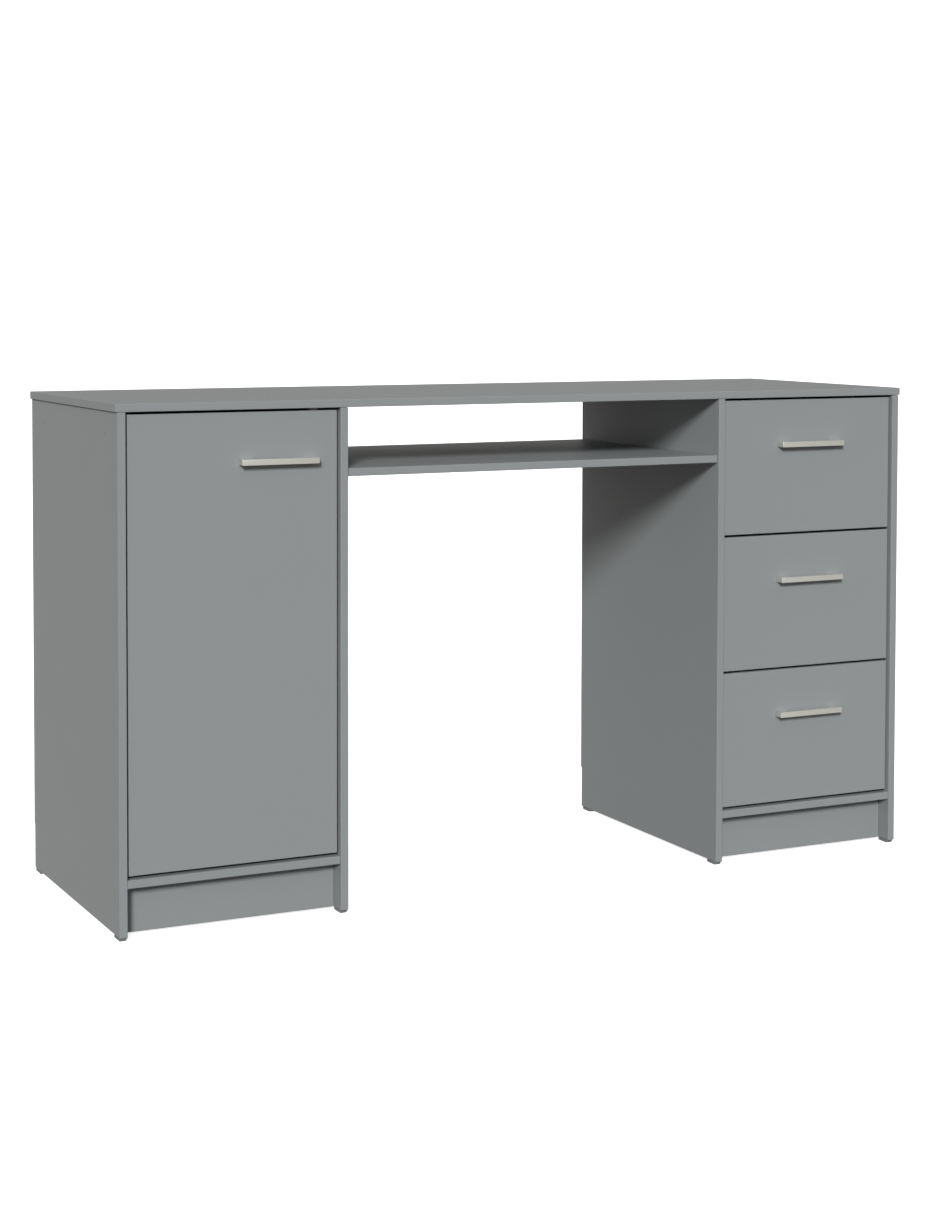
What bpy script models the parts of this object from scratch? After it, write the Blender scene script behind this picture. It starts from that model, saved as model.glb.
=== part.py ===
"""Twin-pedestal writing desk: a cupboard with an inset door on the left, three inset drawers on the
right, an open shelf between them, all in 12 mm melamine-faced board.

Units are metres. +X is the user's right, -Y is the front, +Z is up. The origin is on the floor, under
the middle of the whole desk. Run it with: blender --background --python part.py
"""
import bmesh
import bpy
from math import cos, pi, radians, sin
from mathutils import Matrix, Vector

# ---- driving dimensions -------------------------------------------------------------------------
DESK_WIDTH = 1.365
DESK_DEPTH = 0.447
DESK_HEIGHT = 0.770
BOARD = 0.012                 # thickness of every melamine board
HARDBOARD = 0.0027            # thickness of backs and drawer bottoms
TOP_OVERHANG = 0.003          # the top stands out this far past each outer side
SIDE_DEPTH = 0.444            # the backs are nailed on behind the sides
PEDESTAL_WIDTH = 0.355        # over the two sides of one pedestal
FOOT_HEIGHT = 0.0055
BOTTOM_UNDERSIDE = 0.0758     # height of the bottom panels' undersides
BOTTOM_SETBACK = 0.001
PLINTH_SETBACK = 0.027
MIDDLE_SHELF_TOP = 0.667
MIDDLE_SHELF_SETBACK = 0.004
TOUCH = 0.0003                # gap between pieces that touch
EDGE = 0.0006                 # softened edge of a board

FRONT_GAP = 0.0038            # around the door and the drawer fronts
FRONT_SETBACK = 0.0055        # fronts sit this far behind the sides' front edges
BOTTOM_GAP = 0.0048           # between the bottom panel and the front above it

HANDLE_LENGTH = 0.121
HANDLE_REACH = 0.016          # how far a handle stands off the face it is screwed to
HANDLE_HEIGHT = 0.009
HANDLE_BAR = 0.0065           # thickness of the bar, front to back
HANDLE_FOOT = 0.020           # length of the solid foot at each end
HANDLE_DROP = 0.0726          # from a front's top edge to the handle's centre
DOOR_HANDLE_INSET = 0.034     # from the door's free edge to the handle's end

FOOT_LENGTH = 0.022
FOOT_CHAMFER = 0.0018
FOOT_SETBACK = 0.005

SHELF_HEIGHT = 0.412          # top of the cupboard shelf
SHELF_SETBACK = 0.040         # clear of the door's edge, which swings in past the hinges
SHELF_DEPTH = 0.398
SHELF_END_GAP = 0.0017
PIN_RADIUS = 0.0025
PIN_SIDES = 12                # flats round a shelf pin, its holes and a hinge pin
PIN_IN = 0.0075
PIN_OUT = 0.009
PIN_COLLAR_RADIUS = 0.0042
PIN_COLLAR = 0.001
PIN_PITCH = 0.032
PIN_HOLES = 7
PIN_HOLE_DEPTH = 0.0082
PIN_ROWS = (0.075, 0.380)     # distance of each row of holes behind the front

HINGE_EDGE = 0.017            # hinge axis in from the door's edge
HINGE_DEPTH = 0.008           # hinge axis behind the door's front face
HINGE_FROM_END = 0.085
CUP_RADIUS = 0.013
CUP_DEPTH = 0.0095
CUP_WALL = 0.001
CUP_FLANGE = 0.0155
CUP_SIDES = 32
WING_LENGTH = 0.025
WING_WIDTH = 0.012
KNUCKLE_RADIUS = 0.003
KNUCKLE_SIDES = 20
HINGE_PIN_RADIUS = 0.00125
HINGE_PIN_HALF = 0.0115
ARM_WIDTH = 0.012
ARM_THICKNESS = 0.0026
ARM_CRANK_RADIUS = 0.0205     # the arm swings round the door's edge at this radius
ARM_CRANK_START = radians(45)
ARM_CRANK_END = radians(122)
ARM_CRANK_STEPS = 8
ARM_TAIL_START = 0.040        # behind the sides' front edges
ARM_TAIL_END = 0.078
PLATE_HEIGHT = 0.044
PLATE_LENGTH = 0.020
PLATE_THICKNESS = 0.002

CATCH_FROM_EDGE = 0.031
CATCH_WIDTH = 0.012
CATCH_DEPTH = 0.016
CATCH_HEIGHT = 0.019
STRIKER_WIDTH = 0.016
STRIKER_HEIGHT = 0.014
STRIKER_THICKNESS = 0.001

DRAWERS = 3
DRAWER_GAP = 0.0039
DRAWER_SIDE_GAP = 0.006       # between a drawer's side and the pedestal
DRAWER_LENGTH = 0.380
DRAWER_SIDE_HEIGHT = 0.150
DRAWER_RISE = 0.015           # from a front's bottom edge to its box
DRAWER_BOTTOM_RISE = 0.010    # from the box's lower edge to the bottom panel
DRAWER_BOTTOM_GROOVE = 0.005
RUNNER_GROOVE_RISE = 0.070
RUNNER_GROOVE_DEPTH = 0.0065
RUNNER_GROOVE_HEIGHT = 0.010
RUNNER_HEIGHT = 0.009
RUNNER_START = 0.026          # behind the sides' front edges
RUNNER_LENGTH = 0.385

# ---- positions worked out from them ---------------------------------------------------------------
# The handles reach past the front, and the origin is under the middle of all of it.
HANDLE_PROUD = HANDLE_REACH - FRONT_SETBACK
Y_FRONT = (HANDLE_PROUD - DESK_DEPTH) / 2
LEFT_END = -DESK_WIDTH / 2 + TOP_OVERHANG
RIGHT_END = -LEFT_END
TOP_UNDERSIDE = DESK_HEIGHT - BOARD
BOTTOM_TOP = BOTTOM_UNDERSIDE + BOARD
FRONT_TOP = TOP_UNDERSIDE - DRAWER_GAP
FRONT_BOTTOM = BOTTOM_TOP + BOTTOM_GAP
Y_FACE = Y_FRONT + FRONT_SETBACK          # front faces of the door and drawers
Y_FACE_BACK = Y_FACE + BOARD

# Inner faces of each pedestal: (left, right).
CUPBOARD = (LEFT_END + BOARD, LEFT_END + PEDESTAL_WIDTH - BOARD)
DRAWER_BAY = (RIGHT_END - PEDESTAL_WIDTH + BOARD, RIGHT_END - BOARD)

DOOR = (CUPBOARD[0] + FRONT_GAP, CUPBOARD[1] - FRONT_GAP)
HINGE_AXIS = Vector((DOOR[0] + HINGE_EDGE, Y_FACE + HINGE_DEPTH, 0))
DRAWER_FRONT_HEIGHT = (FRONT_TOP - FRONT_BOTTOM - (DRAWERS - 1) * DRAWER_GAP) / DRAWERS


# ---- tools ----------------------------------------------------------------------------------------
def clear_scene():
    for old in list(bpy.data.objects):
        bpy.data.objects.remove(old, do_unlink=True)


def material(name, colour, roughness, metallic=0.0):
    mat = bpy.data.materials.new(name)
    mat.use_nodes = True
    shader = mat.node_tree.nodes["Principled BSDF"]
    shader.inputs["Base Color"].default_value = (*colour, 1)
    shader.inputs["Roughness"].default_value = roughness
    shader.inputs["Metallic"].default_value = metallic
    mat.diffuse_color = (*colour, 1)
    return mat


def empty(name, place):
    joint = bpy.data.objects.new(name, None)
    joint.location = place
    bpy.context.collection.objects.link(joint)
    return joint


def add_object(name, bm, mat, place=(0, 0, 0), parent=None):
    """Link the mesh as an object at a world position, under its parent if it moves."""
    bmesh.ops.recalc_face_normals(bm, faces=bm.faces)
    mesh = bpy.data.meshes.new(name)
    bm.to_mesh(mesh)
    bm.free()
    mesh.materials.append(mat)
    obj = bpy.data.objects.new(name, mesh)
    bpy.context.collection.objects.link(obj)
    obj.location = place
    if parent:
        obj.parent = parent
        obj.location = Vector(place) - parent.location
    return obj


def block(low, high):
    """A plain box as a bmesh, between two corners."""
    bm = bmesh.new()
    bmesh.ops.create_cube(bm, size=1)
    low, high = Vector(low), Vector(high)
    size = high - low
    bmesh.ops.scale(bm, vec=size, verts=bm.verts)
    bmesh.ops.translate(bm, vec=(low + high) / 2, verts=bm.verts)
    return bm


def soften(bm, width=EDGE, pick=lambda edge: True):
    edges = [edge for edge in bm.edges if pick(edge)]
    bmesh.ops.bevel(bm, geom=edges, offset=width, segments=1, affect="EDGES", profile=0.5)


def board(name, x, y, z, mat, parent=None):
    """A board with softened edges between (low, high) pairs, with its origin at its middle."""
    middle = Vector((sum(x), sum(y), sum(z))) / 2
    half = Vector((x[1] - x[0], y[1] - y[0], z[1] - z[0])) / 2
    bm = block(-half, half)
    soften(bm, min(EDGE, min(half) / 3))
    return add_object(name, bm, mat, middle, parent)


def prism(outline, axis, start, end):
    """Extrude an outline along X, Y or Z; its points are the other two coordinates in order."""
    def place(point, along):
        coords = list(point)
        coords.insert("XYZ".index(axis), along)
        return coords
    bm = bmesh.new()
    base = bm.faces.new([bm.verts.new(place(point, start)) for point in outline])
    grown = bmesh.ops.extrude_face_region(bm, geom=[base])
    moved = [item for item in grown["geom"] if isinstance(item, bmesh.types.BMVert)]
    bmesh.ops.translate(bm, vec=Vector(place((0, 0), end - start)), verts=moved)
    return bm


def turned(profile, axis, steps):
    """Spin (radius, along) points round X, Y or Z; the profile starts and ends on the axis."""
    along = Vector((axis == "X", axis == "Y", axis == "Z"))
    out = Vector((0, 0, 1)) if axis != "Z" else Vector((1, 0, 0))
    bm = bmesh.new()
    ring = [bm.verts.new(out * radius + along * height) for radius, height in profile]
    edges = [bm.edges.new(pair) for pair in zip(ring, ring[1:])]
    bmesh.ops.spin(bm, geom=ring + edges, cent=(0, 0, 0), axis=along, angle=2 * pi, steps=steps)
    bmesh.ops.remove_doubles(bm, verts=bm.verts, dist=0.00001)
    return bm


def shade_round(obj, angle=radians(35)):
    obj.data.shade_smooth()
    obj.data.set_sharp_from_angle(angle=angle)


def combine(target, tool, operation):
    """Boolean the tool into the target with the exact solver, and hide the tool."""
    tool.hide_render = True
    tool.display_type = "WIRE"
    cut = target.modifiers.new(operation.title(), "BOOLEAN")
    cut.operation = operation
    cut.solver = "EXACT"
    cut.object = tool


def depth(low, high):
    """A (low, high) pair in Y from distances behind the sides' front edges."""
    return (Y_FRONT + low, Y_FRONT + high)


# ---- carcass --------------------------------------------------------------------------------------
def make_top(mats):
    board("desk_top", (-DESK_WIDTH / 2, DESK_WIDTH / 2), depth(0, DESK_DEPTH),
          (TOP_UNDERSIDE, DESK_HEIGHT), mats["board"])


def make_sides(mats):
    """Four upright sides; returns the two that hold the cupboard shelf."""
    heights = (FOOT_HEIGHT, TOP_UNDERSIDE - TOUCH)
    sides = {}
    for name, left in (("left_outer_side", LEFT_END), ("left_inner_side", CUPBOARD[1]),
                       ("right_inner_side", DRAWER_BAY[0] - BOARD), ("right_outer_side", DRAWER_BAY[1])):
        sides[name] = board(name, (left, left + BOARD), depth(0, SIDE_DEPTH), heights, mats["board"])
    return sides["left_outer_side"], sides["left_inner_side"]


def make_pedestal_boards(side, bay, mats):
    across = (bay[0] + TOUCH, bay[1] - TOUCH)
    board(side + "_bottom_panel", across, depth(BOTTOM_SETBACK, SIDE_DEPTH),
          (BOTTOM_UNDERSIDE, BOTTOM_TOP), mats["board"])
    board(side + "_plinth", across, depth(PLINTH_SETBACK, PLINTH_SETBACK + BOARD),
          (FOOT_HEIGHT, BOTTOM_UNDERSIDE - TOUCH), mats["board"])
    board(side + "_back_panel", (bay[0] - BOARD, bay[1] + BOARD),
          depth(SIDE_DEPTH + TOUCH, SIDE_DEPTH + TOUCH + HARDBOARD),
          (BOTTOM_UNDERSIDE, TOP_UNDERSIDE - TOUCH), mats["hardboard"])


def make_middle_shelf(mats):
    across = (CUPBOARD[1] + BOARD + TOUCH, DRAWER_BAY[0] - BOARD - TOUCH)
    board("middle_shelf", across, depth(MIDDLE_SHELF_SETBACK, SIDE_DEPTH),
          (MIDDLE_SHELF_TOP - BOARD, MIDDLE_SHELF_TOP), mats["board"])


def make_feet(mats):
    """A low plastic glide at both ends of each side's lower edge."""
    sides = {"left_outer": LEFT_END, "left_inner": CUPBOARD[1],
             "right_inner": DRAWER_BAY[0] - BOARD, "right_outer": DRAWER_BAY[1]}
    rows = {"front": FOOT_SETBACK, "rear": SIDE_DEPTH - FOOT_SETBACK - FOOT_LENGTH}
    top = FOOT_HEIGHT - TOUCH
    for side, left in sides.items():
        for row, start in rows.items():
            half = Vector((BOARD / 2, FOOT_LENGTH / 2, top / 2))
            bm = block(-half, half)
            soften(bm, FOOT_CHAMFER, lambda edge: all(v.co.z < 0 for v in edge.verts))
            place = Vector((left + BOARD / 2, Y_FRONT + start + FOOT_LENGTH / 2, top / 2))
            add_object(f"foot_{side}_{row}", bm, mats["foot"], place)


# ---- cupboard shelf and its pins --------------------------------------------------------------------
def make_shelf(side_panels, mats):
    under = SHELF_HEIGHT - BOARD
    board("cupboard_shelf", (CUPBOARD[0] + SHELF_END_GAP, CUPBOARD[1] - SHELF_END_GAP),
          depth(SHELF_SETBACK, SHELF_SETBACK + SHELF_DEPTH), (under, SHELF_HEIGHT), mats["board"])
    pin_height = under - TOUCH - PIN_RADIUS
    profile = ((0, -PIN_IN), (PIN_RADIUS, -PIN_IN), (PIN_RADIUS, TOUCH), (PIN_COLLAR_RADIUS, TOUCH),
               (PIN_COLLAR_RADIUS, TOUCH + PIN_COLLAR), (PIN_RADIUS, TOUCH + PIN_COLLAR),
               (PIN_RADIUS, PIN_OUT), (0, PIN_OUT))
    for panel, face, inward, side in zip(side_panels, CUPBOARD, (1, -1), ("left", "right")):
        drill_pin_holes(panel, face, inward, pin_height, mats)
        for row, back in zip(("front", "rear"), PIN_ROWS):
            bm = turned([(radius, inward * along) for radius, along in profile], "X", PIN_SIDES)
            place = Vector((face, Y_FRONT + back, pin_height))
            pin = add_object(f"shelf_pin_{side}_{row}", bm, mats["steel"], place)
            shade_round(pin)


def drill_pin_holes(panel, face, inward, pin_height, mats):
    drills = bmesh.new()
    first = pin_height - PIN_PITCH * (PIN_HOLES // 2)
    for back in PIN_ROWS:
        for step in range(PIN_HOLES):
            spot = Vector((face - inward * PIN_HOLE_DEPTH / 2, Y_FRONT + back, first + step * PIN_PITCH))
            reach = PIN_HOLE_DEPTH + 2 * TOUCH
            bmesh.ops.create_cone(drills, cap_ends=True, segments=PIN_SIDES, radius1=PIN_RADIUS + TOUCH,
                                  radius2=PIN_RADIUS + TOUCH, depth=reach,
                                  matrix=Matrix.Translation(spot) @ Matrix.Rotation(pi / 2, 4, "Y"))
    combine(panel, add_object(panel.name + "_drill", drills, mats["steel"]), "DIFFERENCE")


# ---- handles ----------------------------------------------------------------------------------------
def make_handle(name, centre_x, face_y, centre_z, mats, parent):
    """A square bridge handle: a bar with a solid foot at each end."""
    end = HANDLE_LENGTH / 2
    inner = end - HANDLE_FOOT
    back = -TOUCH
    bar_back = -HANDLE_REACH + HANDLE_BAR
    outline = ((-end, -HANDLE_REACH), (end, -HANDLE_REACH), (end, back), (inner, back),
               (inner, bar_back), (-inner, bar_back), (-inner, back), (-end, back))
    bm = prism(outline, "Z", -HANDLE_HEIGHT / 2, HANDLE_HEIGHT / 2)
    soften(bm, EDGE, lambda edge: all(v.co.y < -HANDLE_REACH + TOUCH for v in edge.verts))
    add_object(name, bm, mats["handle"], (centre_x, face_y, centre_z), parent)


# ---- door, its hinges and its catch -------------------------------------------------------------------
def hinge_heights():
    return {"lower": FRONT_BOTTOM + HINGE_FROM_END, "upper": FRONT_TOP - HINGE_FROM_END}


def make_door(mats):
    axis = empty("door_axis", HINGE_AXIS)
    door = board("door", DOOR, (Y_FACE, Y_FACE_BACK), (FRONT_BOTTOM, FRONT_TOP), mats["board"], axis)
    bores = bmesh.new()
    bore_depth = CUP_DEPTH + TOUCH
    for height in hinge_heights().values():
        spot = Vector((HINGE_AXIS.x, Y_FACE_BACK - bore_depth / 2 + TOUCH, height))
        bmesh.ops.create_cone(bores, cap_ends=True, segments=CUP_SIDES, radius1=CUP_RADIUS + TOUCH,
                              radius2=CUP_RADIUS + TOUCH, depth=bore_depth + 2 * TOUCH,
                              matrix=Matrix.Translation(spot) @ Matrix.Rotation(pi / 2, 4, "X"))
    combine(door, add_object("door_bores", bores, mats["steel"]), "DIFFERENCE")
    make_handle("door_handle", DOOR[1] - DOOR_HANDLE_INSET - HANDLE_LENGTH / 2, Y_FACE,
                FRONT_TOP - HANDLE_DROP, mats, axis)
    for which, height in hinge_heights().items():
        make_hinge_cup(which, height, mats, axis)
        make_hinge_arm(which, height, mats)
    make_catch(mats, axis)


def make_hinge_cup(which, height, mats, axis):
    """Pressed cup let into the door, with a flange and two screw wings on the door's back."""
    depth_in = Y_FACE_BACK - HINGE_AXIS.y        # from the hinge axis out to the door's back face
    bottom = depth_in - CUP_DEPTH
    seat = depth_in + TOUCH
    rim = seat + CUP_WALL
    inner = CUP_RADIUS - CUP_WALL
    profile = ((0, bottom), (CUP_RADIUS, bottom), (CUP_RADIUS, seat), (CUP_FLANGE, seat), (CUP_FLANGE, rim),
               (inner, rim), (inner, bottom + CUP_WALL), (0, bottom + CUP_WALL))
    place = Vector((HINGE_AXIS.x, HINGE_AXIS.y, height))
    cup = add_object(which + "_hinge_cup", turned(profile, "Y", CUP_SIDES), mats["steel"], place, axis)
    shade_round(cup)
    for side in (-1, 1):
        reach = sorted((side * (inner + CUP_WALL), side * WING_LENGTH))
        wing = block((-WING_WIDTH / 2, seat, reach[0]), (WING_WIDTH / 2, rim, reach[1]))
        tool = add_object(f"{which}_wing_{reach[0]:.3f}", wing, mats["steel"], place, axis)
        combine(cup, tool, "UNION")
    pin_profile = ((0, -HINGE_PIN_HALF), (HINGE_PIN_RADIUS, -HINGE_PIN_HALF),
                   (HINGE_PIN_RADIUS, HINGE_PIN_HALF), (0, HINGE_PIN_HALF))
    pin = add_object(which + "_hinge_pin", turned(pin_profile, "Z", PIN_SIDES), mats["steel"], place, axis)
    shade_round(pin)


def arm_centreline():
    """The cranked arm seen from above, from the pin round the door's edge to the side panel."""
    face = CUPBOARD[0] - HINGE_AXIS.x            # the side panel's inner face, from the axis
    points = [Vector((0, 0))]
    for step in range(ARM_CRANK_STEPS + 1):
        angle = ARM_CRANK_START + (ARM_CRANK_END - ARM_CRANK_START) * step / ARM_CRANK_STEPS
        points.append(Vector((ARM_CRANK_RADIUS * cos(angle), ARM_CRANK_RADIUS * sin(angle))))
    front_to_axis = HINGE_AXIS.y - Y_FRONT
    tail_x = face + PLATE_THICKNESS + ARM_THICKNESS / 2
    points.append(Vector((tail_x, ARM_TAIL_START - front_to_axis)))
    points.append(Vector((tail_x, ARM_TAIL_END - front_to_axis)))
    return points


def thicken(points, thickness):
    """Offset a centreline to both sides and close it into an outline."""
    left, right = [], []
    for index, point in enumerate(points):
        before = points[max(index - 1, 0)]
        after = points[min(index + 1, len(points) - 1)]
        along_in = (point - before).normalized() if index else (after - point).normalized()
        along_out = (after - point).normalized() if after is not point else along_in
        along = (along_in + along_out).normalized()
        across = Vector((-along.y, along.x))
        reach = thickness / 2 / max(across.dot(Vector((-along_in.y, along_in.x))), 0.5)
        left.append(point + across * reach)
        right.append(point - across * reach)
    return left + right[::-1]


def make_hinge_arm(which, height, mats):
    """The arm's knuckle turns on the pin; its tail is screwed to the side through the plate."""
    place = Vector((HINGE_AXIS.x, HINGE_AXIS.y, height))
    outline = thicken(arm_centreline(), ARM_THICKNESS)
    arm = add_object(which + "_hinge_arm", prism(outline, "Z", -ARM_WIDTH / 2, ARM_WIDTH / 2),
                     mats["steel"], place)

    knuckle_profile = ((0, -ARM_WIDTH / 2), (KNUCKLE_RADIUS, -ARM_WIDTH / 2),
                       (KNUCKLE_RADIUS, ARM_WIDTH / 2), (0, ARM_WIDTH / 2))
    barrel = turned(knuckle_profile, "Z", KNUCKLE_SIDES)
    combine(arm, add_object(which + "_knuckle", barrel, mats["steel"], place), "UNION")

    face = CUPBOARD[0] - HINGE_AXIS.x + TOUCH
    middle = (ARM_TAIL_START + ARM_TAIL_END) / 2 - (HINGE_AXIS.y - Y_FRONT)
    plate = block((face, middle - PLATE_LENGTH / 2, -PLATE_HEIGHT / 2),
                  (face + PLATE_THICKNESS, middle + PLATE_LENGTH / 2, PLATE_HEIGHT / 2))
    combine(arm, add_object(which + "_plate", plate, mats["steel"], place), "UNION")

    bore = bmesh.new()
    bmesh.ops.create_cone(bore, cap_ends=True, segments=PIN_SIDES, radius1=HINGE_PIN_RADIUS + TOUCH,
                          radius2=HINGE_PIN_RADIUS + TOUCH, depth=2 * ARM_WIDTH)
    combine(arm, add_object(which + "_pin_bore", bore, mats["steel"], place), "DIFFERENCE")


def make_catch(mats, axis):
    """Magnetic catch under the top, and the steel plate it holds on the door's back."""
    centre = DOOR[1] - CATCH_FROM_EDGE
    plate_back = Y_FACE_BACK + TOUCH + STRIKER_THICKNESS
    board("door_catch", (centre - CATCH_WIDTH / 2, centre + CATCH_WIDTH / 2),
          (plate_back + TOUCH, plate_back + TOUCH + CATCH_DEPTH),
          (TOP_UNDERSIDE - TOUCH - CATCH_HEIGHT, TOP_UNDERSIDE - TOUCH), mats["white"])
    top = FRONT_TOP - TOUCH
    board("catch_striker", (centre - STRIKER_WIDTH / 2, centre + STRIKER_WIDTH / 2),
          (Y_FACE_BACK + TOUCH, plate_back), (top - STRIKER_HEIGHT, top), mats["steel"], axis)


# ---- drawers ------------------------------------------------------------------------------------------
def make_drawer(number, low, mats):
    """One drawer with its front's lower edge at height low, and the runners that carry it."""
    name = f"drawer_{number}"
    high = low + DRAWER_FRONT_HEIGHT
    centre = sum(DRAWER_BAY) / 2
    slide = empty(name + "_slide", (centre, Y_FACE, low))
    box_low = low + DRAWER_RISE
    box_high = box_low + DRAWER_SIDE_HEIGHT
    floor_low = box_low + DRAWER_BOTTOM_RISE
    floor_high = floor_low + HARDBOARD
    box_front = Y_FACE_BACK + TOUCH
    box_back = box_front + DRAWER_LENGTH

    make_drawer_front(name + "_front", low, high, floor_low, floor_high, mats, slide)
    make_handle(name + "_handle", centre, Y_FACE, high - HANDLE_DROP, mats, slide)

    inner = []
    for side, bay_face, inward in (("left", DRAWER_BAY[0], 1), ("right", DRAWER_BAY[1], -1)):
        outer_face = bay_face + inward * DRAWER_SIDE_GAP
        inner.append(outer_face + inward * BOARD)
        outline = drawer_side_outline(box_low, box_high, floor_low, floor_high)
        outline = [(outer_face + inward * across, height) for across, height in outline]
        bm = prism(outline, "Y", box_front, box_back)
        add_object(f"{name}_{side}_side", bm, mats["drawer"], (0, 0, 0), slide)
        make_runner(number, side, bay_face, inward, box_low, mats)

    board(name + "_back", (inner[0] + TOUCH, inner[1] - TOUCH), (box_back - BOARD, box_back),
          (floor_high + TOUCH, box_high), mats["drawer"], slide)
    tuck = DRAWER_BOTTOM_GROOVE - TOUCH
    bm = block((inner[0] - tuck, Y_FACE_BACK - tuck, floor_low), (inner[1] + tuck, box_back, floor_high))
    add_object(name + "_bottom", bm, mats["hardboard"], (0, 0, 0), slide)


def make_drawer_front(name, low, high, floor_low, floor_high, mats, slide):
    """The front board, with a groove across its back for the drawer's bottom."""
    groove = Y_FACE_BACK - DRAWER_BOTTOM_GROOVE
    outline = ((Y_FACE, low), (Y_FACE, high), (Y_FACE_BACK, high), (Y_FACE_BACK, floor_high + TOUCH),
               (groove, floor_high + TOUCH), (groove, floor_low - TOUCH), (Y_FACE_BACK, floor_low - TOUCH),
               (Y_FACE_BACK, low))
    bm = prism(outline, "X", DRAWER_BAY[0] + FRONT_GAP, DRAWER_BAY[1] - FRONT_GAP)
    soften(bm, EDGE, lambda edge: all(v.co.y < Y_FACE + TOUCH for v in edge.verts))
    add_object(name, bm, mats["board"], (0, 0, 0), slide)


def drawer_side_outline(low, high, floor_low, floor_high):
    """Section of a drawer side as (distance in from its outer face, height)."""
    slot_low = low + RUNNER_GROOVE_RISE
    slot_high = slot_low + RUNNER_GROOVE_HEIGHT
    floor_slot = BOARD - DRAWER_BOTTOM_GROOVE
    return ((0, low), (0, slot_low), (RUNNER_GROOVE_DEPTH, slot_low), (RUNNER_GROOVE_DEPTH, slot_high),
            (0, slot_high), (0, high), (BOARD, high), (BOARD, floor_high + TOUCH),
            (floor_slot, floor_high + TOUCH), (floor_slot, floor_low - TOUCH), (BOARD, floor_low - TOUCH),
            (BOARD, low))


def make_runner(number, side, bay_face, inward, box_low, mats):
    """A strip screwed to the pedestal's side that the drawer's groove slides on."""
    top = box_low + RUNNER_GROOVE_RISE + RUNNER_GROOVE_HEIGHT - TOUCH
    reach = DRAWER_SIDE_GAP + RUNNER_GROOVE_DEPTH - 2 * TOUCH
    across = sorted((bay_face + inward * TOUCH, bay_face + inward * reach))
    board(f"runner_{number}_{side}", across, depth(RUNNER_START, RUNNER_START + RUNNER_LENGTH),
          (top - RUNNER_HEIGHT, top), mats["runner"])


def main():
    clear_scene()
    mats = {
        "board": material("grey_melamine", (0.265, 0.282, 0.285), 0.45),
        "drawer": material("drawer_melamine", (0.265, 0.282, 0.285), 0.5),
        "hardboard": material("grey_hardboard", (0.30, 0.31, 0.31), 0.6),
        "handle": material("satin_nickel", (0.60, 0.59, 0.54), 0.35, 0.8),
        "steel": material("zinc_steel", (0.62, 0.62, 0.63), 0.35, 1.0),
        "foot": material("grey_plastic", (0.22, 0.23, 0.23), 0.5),
        "runner": material("black_plastic", (0.03, 0.03, 0.03), 0.45),
        "white": material("white_plastic", (0.75, 0.75, 0.73), 0.4),
    }
    make_top(mats)
    shelf_sides = make_sides(mats)
    make_pedestal_boards("left", CUPBOARD, mats)
    make_pedestal_boards("right", DRAWER_BAY, mats)
    make_middle_shelf(mats)
    make_feet(mats)
    make_shelf(shelf_sides, mats)
    make_door(mats)
    for number in range(1, DRAWERS + 1):
        low = FRONT_TOP - number * DRAWER_FRONT_HEIGHT - (number - 1) * DRAWER_GAP
        make_drawer(number, low, mats)


main()
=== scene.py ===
import bmesh
import bpy
from math import cos, pi, radians, sin
from mathutils import Matrix, Vector


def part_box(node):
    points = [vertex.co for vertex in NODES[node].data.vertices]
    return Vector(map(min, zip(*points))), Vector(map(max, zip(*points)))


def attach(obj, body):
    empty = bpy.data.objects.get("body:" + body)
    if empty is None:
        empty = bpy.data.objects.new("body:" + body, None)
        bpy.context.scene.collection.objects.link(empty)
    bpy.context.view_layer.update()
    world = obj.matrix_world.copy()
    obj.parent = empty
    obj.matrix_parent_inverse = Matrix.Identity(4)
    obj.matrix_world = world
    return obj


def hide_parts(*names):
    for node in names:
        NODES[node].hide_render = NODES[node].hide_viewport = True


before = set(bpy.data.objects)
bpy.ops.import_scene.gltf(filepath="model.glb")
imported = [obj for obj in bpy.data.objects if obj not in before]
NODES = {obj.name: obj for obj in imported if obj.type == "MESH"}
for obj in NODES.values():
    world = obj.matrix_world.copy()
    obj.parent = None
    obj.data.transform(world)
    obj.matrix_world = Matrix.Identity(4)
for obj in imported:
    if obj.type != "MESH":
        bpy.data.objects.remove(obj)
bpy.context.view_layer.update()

CARCASS = "carcass"
DRAWERS = ("drawer_1", "drawer_2", "drawer_3")
SIDES = (("left", 1), ("right", -1))       # a side's name, and the X direction from it to the middle
DOWN = Vector((0, 0, -1))
RIGHT = Vector((1, 0, 0))
BACK = Vector((0, 1, 0))

# ---- sizes of what the CAD leaves out ---------------------------------------------------------------
BARE = 0.00002                # how far a fixing's seat stands off the face it sits on
EDGE_EASE = 0.00022           # the finely rounded edges of the boards and other CAD nodes
ROW_FRONT = 0.0605            # distances of the front and rear row of fixings behind a side's front edge
ROW_REAR = 0.380
UNDER_TOP = 0.0315            # cams and caps from the face that the joined board sits on
CAM_RADIUS = 0.0075
CAM_PROUD = 0.0003
CAM_CAP_RADIUS = 0.0042
CAM_CAP_PROUD = 0.0004
BRACKET_BEHIND = 0.355        # from the side's front edge to the bracket
BRACKET_LEG = 0.0105
BRACKET_WIDTH = 0.018
BRACKET_THICKNESS = 0.0012
BRACKET_SCREW = (0.0024, 0.0010)          # radius and height of a head, here and below
FLUSH_SCREW = (0.0030, 0.00025)
NAIL_RADIUS = 0.0022
NAIL_HEIGHT = 0.0005
NAIL_PITCH = 0.115
NAIL_INSET = 0.006
DRAWER_CAM_BACK = 0.024       # cams behind the back of a drawer's front
DRAWER_FIXING_RISES = ((0.040, 0.2), (0.118, 0.7))     # heights over the side's lower edge, and turns
RUNNER_SCREW_SHARES = (0.06, 0.5, 0.94)   # places along a runner's length
CUP_WALL = 0.001
CUP_LIP = 0.0025              # width of the rim round the cup's bore
WING_RADIUS = 0.006
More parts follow.
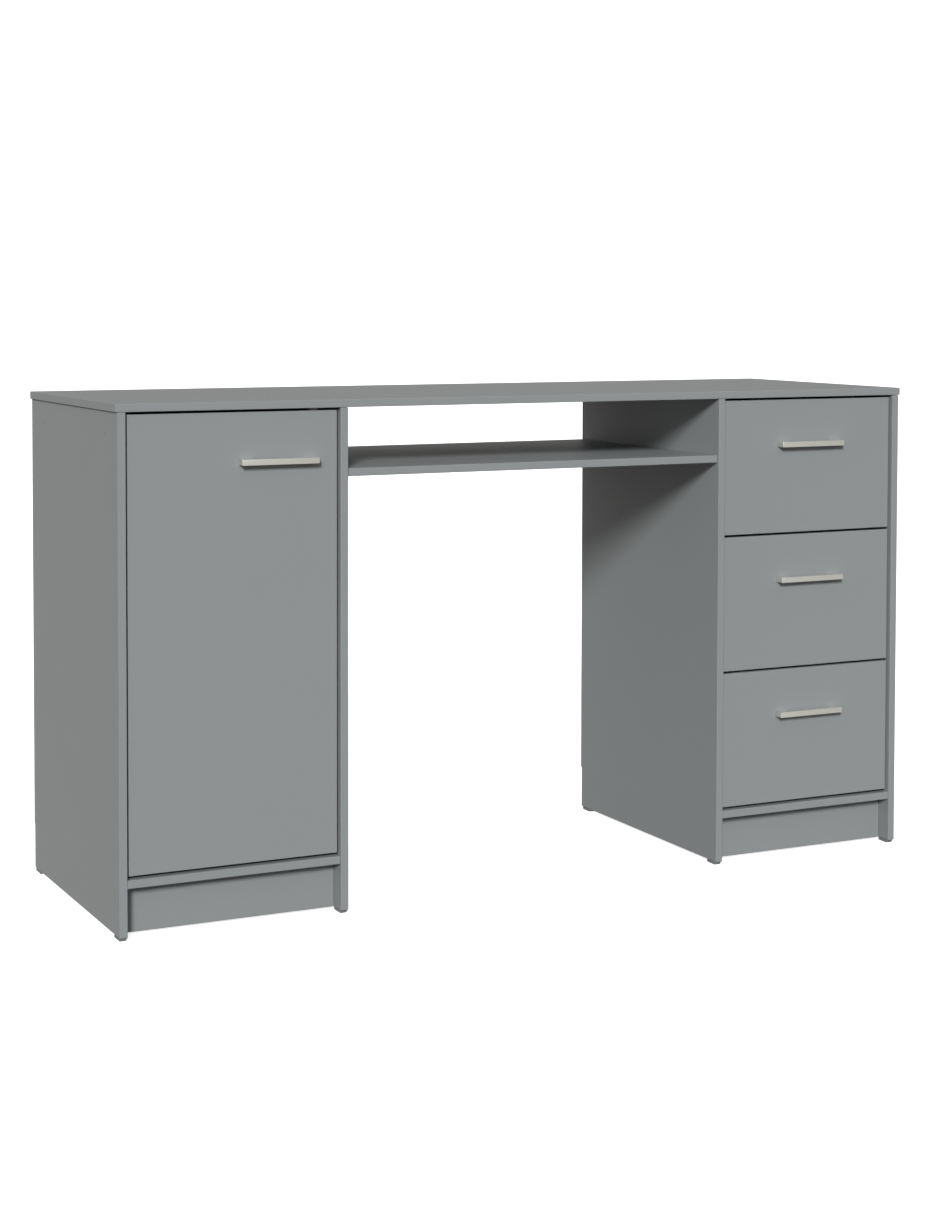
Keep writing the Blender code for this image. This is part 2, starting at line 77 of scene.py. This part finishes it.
WING_SCREW = (0.0034, 0.0014)
PLATE_BEHIND = 0.0486         # the hinge plate's screws behind the arm's foremost point
PLATE_THICKNESS = 0.002
PLATE_SCREW_RISE = 0.0155
PLATE_SCREW = (0.0036, 0.0016)
ARM_FACE = 0.0043             # the arm's upper face over the side it is screwed to
ARM_SCREW_OFFSETS = (-0.007, 0.011)       # along the arm, from the plate's screws
PIN_RADIUS = 0.0025
PIN_INSIDE = 0.0078           # length of a shelf pin up to its collar
POLE_RISE = 0.0045            # the catch's poles over and under its middle
POLE_PROUD = 0.0001
STRIKER_SCREW = (0.0026, 0.00012)
HANDLE_BAR = 0.0065           # thickness of a handle's bar, front to back
HANDLE_FOOT = 0.020
HANDLE_EASE = 0.0007
HANDLE_SCREW = (0.0042, 0.0024)

# ---- light and camera -----------------------------------------------------------------------------------
FLOOR_REACH = 40
FLOOR_GLOW = 0.8              # lifts the pale floor towards the white surround
SURROUND = 1.05               # the surround's brightness to the eye
SKY_LIGHT = 0.40              # the even light from above the horizon
SKY_TINT = (1.03, 1.0, 0.975, 1)
GROUND_LIGHT = 0.02
GROUND_SHEEN = 0.60           # how bright the floor looks in glancing reflections
LAMPS = (                     # name, direction towards the lamp, strength, colour, seen in reflections
    ("key", Vector((-0.59, -1.0, 0.515)), 3.0, (0.985, 0.985, 1.0), True),
    ("fill", Vector((0.5, 1.0, 0.0)), 0.9, (1.0, 1.0, 1.0), False))
LAMP_SOFTNESS = radians(12)
EYE = Vector((-1.63831, -3.25304, 0.92707))
EYE_YAW = 0.44959             # to the right of straight ahead
EYE_PITCH = -0.04285
EYE_ROLL = 0.00163
LENS = 66.196
LENS_SHIFT = (0.0247, -0.1799)


# ---- materials ----------------------------------------------------------------------------------------
class Nodes:
    """A small builder for one procedural material."""

    def __init__(self, name):
        self.material = bpy.data.materials.new(name)
        self.material.use_nodes = True
        self.tree = self.material.node_tree
        self.shader = self.tree.nodes["Principled BSDF"]
        self.place = self.add("ShaderNodeTexCoord").outputs["Object"]

    def add(self, kind, inputs=None, **settings):
        node = self.tree.nodes.new(kind)
        for key, value in settings.items():
            setattr(node, key, value)
        for key, value in (inputs or {}).items():
            if isinstance(value, bpy.types.NodeSocket):
                self.tree.links.new(value, node.inputs[key])
            else:
                node.inputs[key].default_value = value
        return node

    def noise(self, scale, detail=3.0, roughness=0.5, stretch=None):
        place = self.place
        if stretch:
            place = self.add("ShaderNodeMapping", {"Vector": place, "Scale": stretch}).outputs["Vector"]
        settings = {"Vector": place, "Scale": scale, "Detail": detail, "Roughness": roughness}
        return self.add("ShaderNodeTexNoise", settings).outputs["Fac"]

    def between(self, factor, low, high):
        """Map a 0-1 factor linearly to low-high."""
        settings = {"Value": factor, "To Min": low, "To Max": high}
        return self.add("ShaderNodeMapRange", settings).outputs["Result"]

    def sharpen(self, factor, low, high):
        """Map low-high of a factor to 0-1, clamped."""
        settings = {"Value": factor, "From Min": low, "From Max": high}
        return self.add("ShaderNodeMapRange", settings).outputs["Result"]

    def blend(self, factor, first, second):
        """Mix two colours, each a socket or an RGB triple."""
        node = self.add("ShaderNodeMix", data_type="RGBA")
        for key, value in (("Factor", factor), ("A", first), ("B", second)):
            socket = next(s for s in node.inputs if s.name == key and s.enabled)
            if isinstance(value, bpy.types.NodeSocket):
                self.tree.links.new(value, socket)
            else:
                socket.default_value = (*value, 1) if isinstance(value, tuple) else value
        return next(s for s in node.outputs if s.name == "Result" and s.enabled)

    def edges(self, radius):
        """1 on a corner sharper than the radius, 0 on a flat face."""
        rounded = self.add("ShaderNodeBevel", {"Radius": radius}, samples=6).outputs["Normal"]
        flat = self.add("ShaderNodeNewGeometry").outputs["Normal"]
        alike = self.add("ShaderNodeVectorMath", {0: rounded, 1: flat}, operation="DOT_PRODUCT")
        return self.sharpen(alike.outputs["Value"], 0.98, 0.80)

    def bump(self, height, strength, distance, under=None):
        inputs = {"Height": height, "Strength": strength, "Distance": distance}
        if under:
            inputs["Normal"] = under
        return self.add("ShaderNodeBump", inputs).outputs["Normal"]

    def finish(self, colour=None, roughness=None, normal=None, **constants):
        for key, value in (("Base Color", colour), ("Roughness", roughness), ("Normal", normal)):
            if isinstance(value, bpy.types.NodeSocket):
                self.tree.links.new(value, self.shader.inputs[key])
            elif value is not None:
                self.shader.inputs[key].default_value = value
        for key, value in constants.items():
            self.shader.inputs[key.replace("_", " ")].default_value = value
        return self.material


def shade(colour, amount):
    return tuple(channel * amount for channel in colour)


def melamine(name, colour, gloss=0.47):
    """Melamine-faced board: an even colour, a fine pearl texture, and edges painted slightly pale as a
    highlight.
    """
    m = Nodes(name)
    cloud = m.noise(3.0, detail=2.0)
    speckle = m.noise(900.0, detail=2.0, roughness=0.6)
    tone = m.blend(cloud, shade(colour, 0.985), shade(colour, 1.015))
    fine = m.blend(m.between(speckle, 0.0, 0.16), tone, shade(colour, 1.12))
    # painted highlight: the rounded edges are painted paler, as if they catch the light
    pale_edge_highlight = m.blend(m.between(m.edges(0.0007), 0.0, 0.35), fine, shade(colour, 1.25))
    smudge = m.noise(9.0, detail=4.0, roughness=0.6)
    pearl = m.bump(m.noise(1100.0, detail=2.0), 0.10, 0.00025)
    waves = m.bump(m.noise(14.0, detail=1.0), 0.03, 0.0006, pearl)
    return m.finish(pale_edge_highlight, m.between(smudge, gloss - 0.04, gloss + 0.05), waves, Specular_IOR_Level=0.42)


def hardboard(name, colour):
    """Painted hardboard: matt, with a faint fibre mottle."""
    m = Nodes(name)
    fibre = m.noise(420.0, detail=5.0, roughness=0.65, stretch=(1.0, 1.0, 0.35))
    cloud = m.noise(6.0, detail=4.0)
    tone = m.blend(cloud, shade(colour, 0.94), shade(colour, 1.05))
    fine = m.blend(m.sharpen(fibre, 0.35, 0.75), shade(colour, 0.88), tone)
    dents = m.bump(fibre, 0.25, 0.0002)
    return m.finish(fine, m.between(cloud, 0.62, 0.74), dents, Specular_IOR_Level=0.35)


def brushed(name, colour, along, roughness=0.34, metallic=1.0):
    """Satin-plated metal with fine brushing along one axis, and a painted highlight that lightens the edges.
    """
    m = Nodes(name)
    stretch = tuple(0.012 if axis == along else 1.0 for axis in "XYZ")
    grain = m.noise(2600.0, detail=3.0, roughness=0.6, stretch=stretch)
    cloud = m.noise(30.0, detail=3.0)
    tone = m.blend(grain, shade(colour, 0.93), shade(colour, 1.05))
    tint = m.blend(m.between(cloud, 0.0, 0.35), tone, shade(colour, 0.94))
    # painted highlight: the edges are painted lighter, as if they catch the light
    lit = m.blend(m.between(m.edges(0.0004), 0.0, 0.5), tint, shade(colour, 1.15))
    lines = m.bump(grain, 0.16, 0.00008)
    rough = m.between(grain, roughness - 0.05, roughness + 0.08)
    return m.finish(lit, rough, lines, Metallic=metallic)


def plated(name, colour, roughness=0.30):
    """Zinc-plated steel, slightly clouded."""
    m = Nodes(name)
    cloud = m.noise(160.0, detail=5.0, roughness=0.6)
    blotch = m.noise(38.0, detail=2.0)
    tone = m.blend(cloud, shade(colour, 0.84), shade(colour, 1.06))
    stain = (colour[0] * 0.93, colour[1] * 0.92, colour[2] * 0.86)
    tint = m.blend(m.between(blotch, 0.0, 0.4), tone, stain)
    ripple = m.bump(cloud, 0.12, 0.0001)
    return m.finish(tint, m.between(blotch, roughness - 0.05, roughness + 0.14), ripple, Metallic=1.0)


def moulded(name, colour, roughness=0.45):
    """Injection-moulded plastic: a spark-eroded grain, a faint dusty mottle, and edges painted paler as a
    highlight.
    """
    m = Nodes(name)
    grain = m.noise(1500.0, detail=3.0, roughness=0.6)
    cloud = m.noise(45.0, detail=3.0)
    tone = m.blend(cloud, shade(colour, 0.93), shade(colour, 1.07))
    # painted highlight: the edges are painted paler, as if they catch the light
    pale = tuple(channel * 1.15 + 0.02 for channel in colour)
    painted_edge_highlight = m.blend(m.between(m.edges(0.0006), 0.0, 0.3), tone, pale)
    rough = m.between(cloud, roughness - 0.05, roughness + 0.08)
    return m.finish(painted_edge_highlight, rough, m.bump(grain, 0.2, 0.0001))


GREY = (0.265, 0.282, 0.285)
MATS = {
    "grey_melamine": melamine("board_grey", GREY),
    "drawer_melamine": melamine("drawer_box_grey", shade(GREY, 0.97), 0.52),
    "grey_hardboard": hardboard("hardboard_grey", (0.285, 0.297, 0.297)),
    "satin_nickel": brushed("nickel_brushed", (0.655, 0.665, 0.612), "X", 0.44, 0.75),
    "zinc_steel": plated("zinc_plate", (0.66, 0.66, 0.665)),
    "grey_plastic": moulded("plastic_grey", (0.20, 0.21, 0.21)),
    "black_plastic": moulded("plastic_black", (0.022, 0.022, 0.023), 0.38),
    "white_plastic": moulded("plastic_white", (0.78, 0.78, 0.75), 0.35),
    "cap_plastic": moulded("plastic_cap", shade(GREY, 0.90), 0.5),
    "cam_zinc": plated("cam_zinc", (0.52, 0.52, 0.53), 0.42),
    "magnet": plated("catch_pole", (0.36, 0.36, 0.37), 0.3),
}


# ---- mesh tools -----------------------------------------------------------------------------------------
def to_mesh(bm, name):
    bmesh.ops.recalc_face_normals(bm, faces=bm.faces)
    mesh = bpy.data.meshes.new(name)
    bm.to_mesh(mesh)
    bm.free()
    return mesh


def piece(name, mesh, mat, body, smooth=35, replaces=()):
    """Link a mesh in the row frame as one piece that rides on a body."""
    obj = bpy.data.objects.new(name, mesh)
    bpy.context.scene.collection.objects.link(obj)
    if not mesh.materials:
        mesh.materials.append(MATS[mat])
    if smooth:
        mesh.shade_smooth()
        mesh.set_sharp_from_angle(angle=radians(smooth))
    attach(obj, body)
    if replaces:
        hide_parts(*replaces)
    return obj


def lathe(profile, steps=32):
    """Turn a profile of (radius, height) points round Z; it starts and ends on the axis."""
    bm = bmesh.new()
    ring = [bm.verts.new((radius, 0, height)) for radius, height in profile]
    edges = [bm.edges.new(pair) for pair in zip(ring, ring[1:])]
    bmesh.ops.spin(bm, geom=ring + edges, cent=(0, 0, 0), axis=(0, 0, 1), angle=2 * pi, steps=steps)
    bmesh.ops.remove_doubles(bm, verts=bm.verts, dist=0.000005)
    return bm


def slab(low, high):
    bm = bmesh.new()
    bmesh.ops.create_cube(bm, size=1)
    bmesh.ops.scale(bm, vec=Vector(high) - Vector(low), verts=bm.verts)
    bmesh.ops.translate(bm, vec=(Vector(high) + Vector(low)) / 2, verts=bm.verts)
    return bm


def rounded(bm, width, segments=3):
    bmesh.ops.bevel(bm, geom=bm.edges[:], offset=width, segments=segments, affect="EDGES", profile=0.5)
    return bm


def join(*meshes):
    """Several bmeshes or (mesh, matrix) pairs as one bmesh."""
    bm = bmesh.new()
    for item in meshes:
        mesh, matrix = item if isinstance(item, tuple) else (to_mesh(item, "part"), Matrix())
        copy = mesh.copy()
        copy.transform(matrix)
        bm.from_mesh(copy)
        bpy.data.meshes.remove(copy)
    return bm


def cut(bm, tool, operation="DIFFERENCE"):
    """Boolean one bmesh with another and return the result as a mesh."""
    body = bpy.data.objects.new("body", to_mesh(bm, "body"))
    knife = bpy.data.objects.new("knife", to_mesh(tool, "knife"))
    for obj in (body, knife):
        bpy.context.scene.collection.objects.link(obj)
    modifier = body.modifiers.new("cut", "BOOLEAN")
    modifier.operation = operation
    modifier.solver = "EXACT"
    modifier.object = knife
    view = bpy.context.evaluated_depsgraph_get()
    mesh = bpy.data.meshes.new_from_object(body.evaluated_get(view))
    for obj in (body, knife):
        bpy.data.objects.remove(obj)
    return mesh


def facing(direction, spot, turn=0.0):
    """Place a template modelled up +Z at a spot, with its +Z along a direction."""
    spin = Matrix.Rotation(turn, 4, "Z")
    return Matrix.Translation(spot) @ direction.to_track_quat("Z", "Y").to_matrix().to_4x4() @ spin


def stamp(name, template, places, mat, body, **options):
    """Copies of a template as one piece; each place is (spot, direction) and a turn if it has one."""
    copies = [(template, facing(direction, spot, *turn)) for spot, direction, *turn in places]
    return piece(name, to_mesh(join(*copies), name), mat, body, **options)


def prism(outline, rise):
    """A flat outline of points pushed along a vector."""
    bm = bmesh.new()
    rim = [bm.verts.new(point) for point in outline]
    grown = bmesh.ops.extrude_face_region(bm, geom=[bm.faces.new(rim)])
    moved = [item for item in grown["geom"] if isinstance(item, bmesh.types.BMVert)]
    bmesh.ops.translate(bm, vec=rise, verts=moved)
    bmesh.ops.recalc_face_normals(bm, faces=bm.faces)
    return bm


def cross(size, width, low, high):
    """A cross-shaped cutter with tapered tips, from low to high."""
    half, tip = width / 2, width / 3
    arm = [(half, -half), (size, -tip), (size, tip)]
    outline = []
    for c, s in ((1, 0), (0, 1), (-1, 0), (0, -1)):
        outline += [(x * c - y * s, x * s + y * c, low) for x, y in arm]
    return prism(outline, (0, 0, high - low))


def screw_head(radius, height, sink=0.55):
    """A domed head with a cross recess, seated at z = 0."""
    dome = [(radius * cos(a), height * 0.35 + height * 0.65 * sin(a)) for a in (0, 0.35, 0.75, 1.15)]
    profile = [(0, 0), (radius * 0.97, 0), (radius, height * 0.15)] + dome + [(0, height)]
    return cut(lathe(profile, 28), cross(radius * 0.58, radius * 0.2, height * (1 - sink), height * 1.5))


def cam_head(radius, height):
    """The face of a cam lock: a ring, a shallow dish, and a cross slot."""
    rim = radius * 0.93
    profile = [(0, -height), (radius, -height), (radius, height * 0.6), (rim, height), (rim * 0.93, height),
               (rim * 0.88, height * 0.3), (0, height * 0.3)]
    return cut(lathe(profile, 40), cross(radius * 0.5, radius * 0.17, -height * 0.5, height * 2))


def cap_head(radius, height):
    """A thin press-in cover cap with a rounded rim."""
    return to_mesh(lathe([(0, -height), (radius * 0.9, -height), (radius, 0), (radius * 0.97, height * 0.55),
                          (radius * 0.86, height), (0, height)], 36), "cap")


def corner(node, x=0, y=0, z=0):
    """A point on a node's box: -1, 0 or 1 picks its low side, middle or high side on each axis."""
    low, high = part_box(node)
    return Vector([(l + h) / 2 + s * (h - l) / 2 for l, h, s in zip(low, high, (x, y, z))])


# ---- carried-over boards --------------------------------------------------------------------------------
def finish_nodes():
    """Every CAD node keeps its shape and gets its slot's material and finely rounded edges."""
    for node in NODES.values():
        for slot in node.material_slots:
            slot.material = MATS[slot.material.name.split(".")[0]]
        ease = node.modifiers.new("eased_edges", "BEVEL")
        ease.width = EDGE_EASE
        ease.segments = 2
        ease.limit_method = "ANGLE"
        ease.angle_limit = radians(25)
        ease.use_clamp_overlap = True


# ---- fixings of the carcass ------------------------------------------------------------------------------
def row_places(node, face, height, *turn):
    """Spots in the front and rear row on a side board's left (-1) or right (1) face."""
    spot = corner(node, face, -1, 0)
    return [(Vector((spot.x + face * BARE, spot.y + row, height)), face * RIGHT, *turn)
            for row in (ROW_FRONT, ROW_REAR)]


def underside_places(node, turn):
    """Spots near both ends of a board's underside, in the front and rear row."""
    places = []
    for end in (-1, 1):
        under = corner(node, end, -1, -1)
        places += [(under + Vector((-end * UNDER_TOP, row, -BARE)), DOWN, turn)
                   for row in (ROW_FRONT, ROW_REAR)]
    return places


def add_carcass_fixings():
    """Cam locks inside the pedestals and under the shelves, and cover caps on the outer sides."""
    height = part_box("desk_top")[0].z - UNDER_TOP
    cam = cam_head(CAM_RADIUS, CAM_PROUD)
    cap = cap_head(CAM_CAP_RADIUS, CAM_CAP_PROUD)
    for side, inward in SIDES:
        outer, inner = f"{side}_outer_side", f"{side}_inner_side"
        stamp(f"{outer}_caps", cap, row_places(outer, -inward, height), "cap_plastic", CARCASS)
        stamp(f"{inner}_cams", cam, row_places(inner, -inward, height, 0.6), "cam_zinc", CARCASS)
        under = underside_places(f"{side}_bottom_panel", 0.3)
        stamp(f"{side}_bottom_cams", cam, under, "cam_zinc", CARCASS)
    stamp("middle_shelf_cams", cam, underside_places("middle_shelf", -0.4), "cam_zinc", CARCASS)


def add_corner_brackets():
    """A small folded angle with two screws, under the top at the rear of the knee space."""
    leg, wide, thick = BRACKET_LEG, BRACKET_WIDTH, BRACKET_THICKNESS
    screw = screw_head(*BRACKET_SCREW)
    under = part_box("desk_top")[0].z - BARE
    for side, inward in SIDES:
        node = f"{side}_inner_side"
        face = corner(node, inward, -1, 1)
        base = Vector((face.x + inward * BARE, face.y + BRACKET_BEHIND, under))
        outline = [(0, 0), (leg, 0), (leg, -thick), (thick, -thick), (thick, -leg), (0, -leg)]
        bm = prism([base + Vector((inward * across, 0, down)) for across, down in outline], (0, wide, 0))
        rounded(bm, 0.0003, 2)
        piece(f"{node}_bracket", to_mesh(bm, "bracket"), "zinc_steel", CARCASS)
        middle = base + Vector((0, wide / 2, 0))
        spots = [(middle + Vector((inward * thick, 0, -leg * 0.58)), inward * RIGHT, 0.5),
                 (middle + Vector((inward * leg * 0.58, 0, -thick)), DOWN, 0.2)]
        stamp(f"{node}_bracket_screws", screw, spots, "zinc_steel", CARCASS)


def add_back_nails():
    """Nail heads down both long edges and along the lower edge of each back."""
    nail = to_mesh(lathe([(0, 0), (NAIL_RADIUS, 0), (NAIL_RADIUS * 0.9, NAIL_HEIGHT * 0.6),
                          (NAIL_RADIUS * 0.5, NAIL_HEIGHT), (0, NAIL_HEIGHT)], 14), "nail")
    for side in ("left", "right"):
        low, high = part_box(f"{side}_back_panel")
        bottom, rise = low.z + NAIL_INSET, high.z - low.z - 2 * NAIL_INSET
        seat = high.y - BARE
        count = round(rise / NAIL_PITCH)
        places = []
        for step in range(count + 1):
            for across in (low.x + NAIL_INSET, high.x - NAIL_INSET):
                places.append((Vector((across, seat, bottom + rise * step / count)), BACK))
        for share in (1 / 3, 2 / 3):
            places.append((Vector((low.x + (high.x - low.x) * share, seat, bottom)), BACK))
        stamp(f"{side}_back_nails", nail, places, "zinc_steel", CARCASS)


def add_drawer_fixings():
    """Cam locks that hold each box to its front, and the screws through its sides into its back."""
    cam = cam_head(CAM_RADIUS, CAM_PROUD)
    flush = screw_head(*FLUSH_SCREW)
    for name in DRAWERS:
        cams, screws = [], []
        for side, inward in SIDES:
            board = f"{name}_{side}_side"
            inside = corner(board, inward, -1, -1) + Vector((inward * BARE, DRAWER_CAM_BACK, 0))
            outside = corner(board, -inward, 1, -1) - Vector((inward * BARE, 0, 0))
            outside.y = corner(f"{name}_back").y
            for rise, turn in DRAWER_FIXING_RISES:
                cams.append((inside + Vector((0, 0, rise)), inward * RIGHT, turn))
                screws.append((outside + Vector((0, 0, rise)), -inward * RIGHT, turn))
        stamp(f"{name}_cams", cam, cams, "cam_zinc", name)
        stamp(f"{name}_back_screws", flush, screws, "zinc_steel", name)


def add_runner_screws():
    flush = screw_head(*FLUSH_SCREW)
    for number in (1, 2, 3):
        for side, inward in SIDES:
            node = f"runner_{number}_{side}"
            low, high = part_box(node)
            places = []
            for share in RUNNER_SCREW_SHARES:
                spot = corner(node, inward)
                spot.y = low.y + (high.y - low.y) * share
                places.append((spot, inward * RIGHT, 3 * share))
            stamp(f"{node}_screws", flush, places, "zinc_steel", CARCASS)


# ---- hinges, catch and shelf pins -----------------------------------------------------------------------
def cup_shell(flange, depth, reach):
    """A pressed cup, opening up +Z, with a rounded lip and a wing for a screw at both Y ends."""
    wall, radius = CUP_WALL, flange - CUP_LIP
    inner = radius - wall
    lip = [(radius, depth - wall), (flange, depth - wall), (flange, depth - wall * 0.4),
           (flange - 0.0006, depth), (inner + 0.0006, depth), (inner, depth - 0.0006)]
    shell = lathe([(0, 0), (radius - 0.001, 0), (radius, 0.001), *lip,
                   (inner, wall + 0.0015), (inner - 0.0015, wall), (0, wall)], 64)
    wing, under, over = WING_RADIUS, depth - wall, depth - wall * 0.15
    wings = []
    for end in (-1, 1):
        near, far = sorted((end * (radius - wall / 2), end * (reach - wing)))
        tip = lathe([(0, under), (wing, under), (wing, over), (0, over)], 32)
        bmesh.ops.translate(tip, vec=(0, end * (reach - wing), 0), verts=tip.verts)
        wings += [slab((-wing, near, under), (wing, far, over)), tip]
    for part in wings:
        shell = join((cut(shell, part, "UNION"), Matrix()))
    return to_mesh(shell, "cup")


def add_hinges():
    """Pressed cups with screwed wings, domed pins, and the screws of the arms' plates."""
    wing_screw = screw_head(*WING_SCREW)
    plate_screw = screw_head(*PLATE_SCREW)
    for which in ("upper", "lower"):
        cup = f"{which}_hinge_cup"
        low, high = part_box(cup)
        centre = (low + high) / 2
        reach = (high.z - low.z) / 2
        mesh = cup_shell((high.x - low.x) / 2, high.y - low.y, reach)
        mesh.transform(facing(BACK, Vector((centre.x, low.y, centre.z))))
        piece(f"{cup}_shell", mesh, "zinc_steel", "door", smooth=30, replaces=(cup,))
        seats = [(Vector((centre.x, high.y - CUP_WALL * 0.15, centre.z + end * (reach - WING_RADIUS))), BACK,
                  0.5 + end) for end in (-1, 1)]
        stamp(f"{cup}_screws", wing_screw, seats, "zinc_steel", "door")

        rod = f"{which}_hinge_pin"
        low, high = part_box(rod)
        radius, half = (high.x - low.x) / 2, (high.z - low.z) / 2
        profile = [(0, -half), (radius * 0.7, -half), (radius, -half + 0.0004),
                   (radius, half - 0.0004), (radius * 0.7, half), (0, half)]
        mesh = to_mesh(lathe(profile, 28), "pin")
        mesh.transform(Matrix.Translation((low + high) / 2))
        piece(f"{rod}_rod", mesh, "zinc_steel", "door", replaces=(rod,))

        arm = f"{which}_hinge_arm"
        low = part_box(arm)[0]
        spot = Vector((low.x, low.y + PLATE_BEHIND, corner(arm).z))
        seats = [(spot + Vector((PLATE_THICKNESS, 0, end * PLATE_SCREW_RISE)), RIGHT, 0.4 + end)
                 for end in (-1, 1)]
        seats += [(spot + Vector((ARM_FACE, along, 0)), RIGHT, 1 + 90 * along) for along in ARM_SCREW_OFFSETS]
        stamp(f"{arm}_screws", plate_screw, seats, "zinc_steel", CARCASS)


def add_catch():
    """The two steel poles of the magnet, just proud of the catch's face, and the striker's screw."""
    low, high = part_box("door_catch")
    half = Vector(((high.x - low.x) * 0.38, 0.0006, 0.0009))
    for end, name in ((-1, "lower"), (1, "upper")):
        spot = corner("door_catch", 0, -1, 0) + Vector((0, half.y - POLE_PROUD, end * POLE_RISE))
        pole = rounded(slab(spot - half, spot + half), 0.0002, 2)
        piece(f"catch_pole_{name}", to_mesh(pole, "pole"), "magnet", CARCASS)
    seat = [(corner("catch_striker", 0, 1, 0), BACK, 0.4)]
    stamp("catch_striker_screw", screw_head(*STRIKER_SCREW), seat, "zinc_steel", "door")


def add_shelf_pins():
    """Round studs with a collar that stops against the side."""
    for side, inward in SIDES:
        for row in ("front", "rear"):
            node = f"shelf_pin_{side}_{row}"
            low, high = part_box(node)
            collar = (high.z - low.z) / 2
            length = high.x - low.x
            stem, seat = PIN_RADIUS, PIN_INSIDE
            profile = [(0, 0), (stem * 0.75, 0), (stem, 0.0006), (stem, seat), (collar * 0.94, seat),
                       (collar, seat + 0.0003), (collar, seat + 0.0007), (collar * 0.94, seat + 0.001),
                       (stem, seat + 0.001), (stem, length - 0.0008), (stem * 0.7, length), (0, length)]
            mesh = to_mesh(lathe(profile, 32), node)
            mesh.transform(facing(inward * RIGHT, corner(node, -inward)))
            piece(f"{node}_stud", mesh, "zinc_steel", CARCASS, replaces=(node,))


# ---- handles --------------------------------------------------------------------------------------------
def add_handles():
    """Bridge handles with crisp eased corners, and the two screws behind each."""
    screw = screw_head(*HANDLE_SCREW)
    bar, foot = HANDLE_BAR, HANDLE_FOOT
    for front, body in [("door", "door")] + [(f"{name}_front", name) for name in DRAWERS]:
        node = f"{body}_handle"
        low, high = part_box(node)
        outline = [(low.x, high.y), (low.x, low.y), (high.x, low.y), (high.x, high.y), (high.x - foot, high.y),
                   (high.x - foot, low.y + bar), (low.x + foot, low.y + bar), (low.x + foot, high.y)]
        bm = rounded(prism([(x, y, low.z) for x, y in outline], (0, 0, high.z - low.z)), HANDLE_EASE, 4)
        piece(f"{node}_bar", to_mesh(bm, node), "satin_nickel", body, smooth=50, replaces=(node,))
        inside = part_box(front)[1].y + BARE
        middle = (low.z + high.z) / 2
        spots = [(Vector((x, inside, middle)), BACK, turn)
                 for x, turn in ((low.x + foot / 2, 0.3), (high.x - foot / 2, 1.1))]
        stamp(f"{node}_screws", screw, spots, "zinc_steel", body)


# ---- stage, light and camera ----------------------------------------------------------------------------
def add_floor():
    bm = bmesh.new()
    bmesh.ops.create_grid(bm, x_segments=8, y_segments=8, size=FLOOR_REACH)
    floor = bpy.data.objects.new("studio_floor", to_mesh(bm, "studio_floor"))
    bpy.context.scene.collection.objects.link(floor)
    m = Nodes("studio_floor")
    tone = m.blend(m.noise(0.6, detail=1.0), (0.93, 0.93, 0.93), (0.95, 0.95, 0.95))
    m.finish(tone, 0.9, Emission_Color=(1, 1, 1, 1), Emission_Strength=FLOOR_GLOW)
    floor.data.materials.append(m.material)
    floor.visible_diffuse = False
    floor.visible_glossy = False


def add_lamps():
    """A broad, distant key from the front left, and a weak fill for the faces turned away from it."""
    for name, source, strength, colour, reflected in LAMPS:
        lamp = bpy.data.lights.new(name, "SUN")
        lamp.energy = strength
        lamp.color = colour
        lamp.angle = LAMP_SOFTNESS
        holder = bpy.data.objects.new(name, lamp)
        bpy.context.scene.collection.objects.link(holder)
        holder.rotation_euler = source.to_track_quat("Z", "Y").to_euler()
        holder.visible_glossy = reflected


def add_world():
    """An even surround: white to the eye, gentler as light, and dim below the horizon."""
    world = bpy.data.worlds.new("studio")
    bpy.context.scene.world = world
    world.use_nodes = True
    tree = world.node_tree
    light = tree.nodes["Background"]
    light.inputs["Color"].default_value = SKY_TINT
    seen = tree.nodes.new("ShaderNodeBackground")
    seen.inputs["Strength"].default_value = SURROUND
    seen.inputs["Color"].default_value = (1, 1, 1, 1)
    direction = tree.nodes.new("ShaderNodeTexCoord")
    height = tree.nodes.new("ShaderNodeSeparateXYZ")
    tree.links.new(direction.outputs["Generated"], height.inputs[0])
    path = tree.nodes.new("ShaderNodeLightPath")
    below = tree.nodes.new("ShaderNodeMath")
    below.operation = "MULTIPLY_ADD"
    below.inputs[1].default_value = GROUND_SHEEN
    below.inputs[2].default_value = GROUND_LIGHT
    tree.links.new(path.outputs["Is Glossy Ray"], below.inputs[0])
    ramp = tree.nodes.new("ShaderNodeMapRange")
    ramp.inputs["From Min"].default_value = -0.02
    ramp.inputs["From Max"].default_value = 0.0
    ramp.inputs["To Max"].default_value = SKY_LIGHT
    tree.links.new(below.outputs[0], ramp.inputs["To Min"])
    tree.links.new(height.outputs["Z"], ramp.inputs["Value"])
    tree.links.new(ramp.outputs["Result"], light.inputs["Strength"])
    mix = tree.nodes.new("ShaderNodeMixShader")
    tree.links.new(path.outputs["Is Camera Ray"], mix.inputs[0])
    tree.links.new(light.outputs[0], mix.inputs[1])
    tree.links.new(seen.outputs[0], mix.inputs[2])
    tree.links.new(mix.outputs[0], tree.nodes["World Output"].inputs["Surface"])


def add_camera():
    """The eye stands to the left of the desk, turned 26 degrees to its right."""
    data = bpy.data.cameras.new("camera")
    data.lens = LENS
    data.shift_x, data.shift_y = LENS_SHIFT
    camera = bpy.data.objects.new("camera", data)
    bpy.context.scene.collection.objects.link(camera)
    yaw = Matrix.Rotation(-EYE_YAW, 4, "Z")
    pitch = Matrix.Rotation(pi / 2 + EYE_PITCH, 4, "X")
    roll = Matrix.Rotation(EYE_ROLL, 4, "Z")
    camera.matrix_world = Matrix.Translation(EYE) @ yaw @ pitch @ roll
    bpy.context.scene.camera = camera


finish_nodes()
add_carcass_fixings()
add_corner_brackets()
add_back_nails()
add_drawer_fixings()
add_runner_screws()
add_hinges()
add_catch()
add_shelf_pins()
add_handles()
add_floor()
add_lamps()
add_world()
add_camera()
bpy.context.scene.view_settings.view_transform = "Standard"
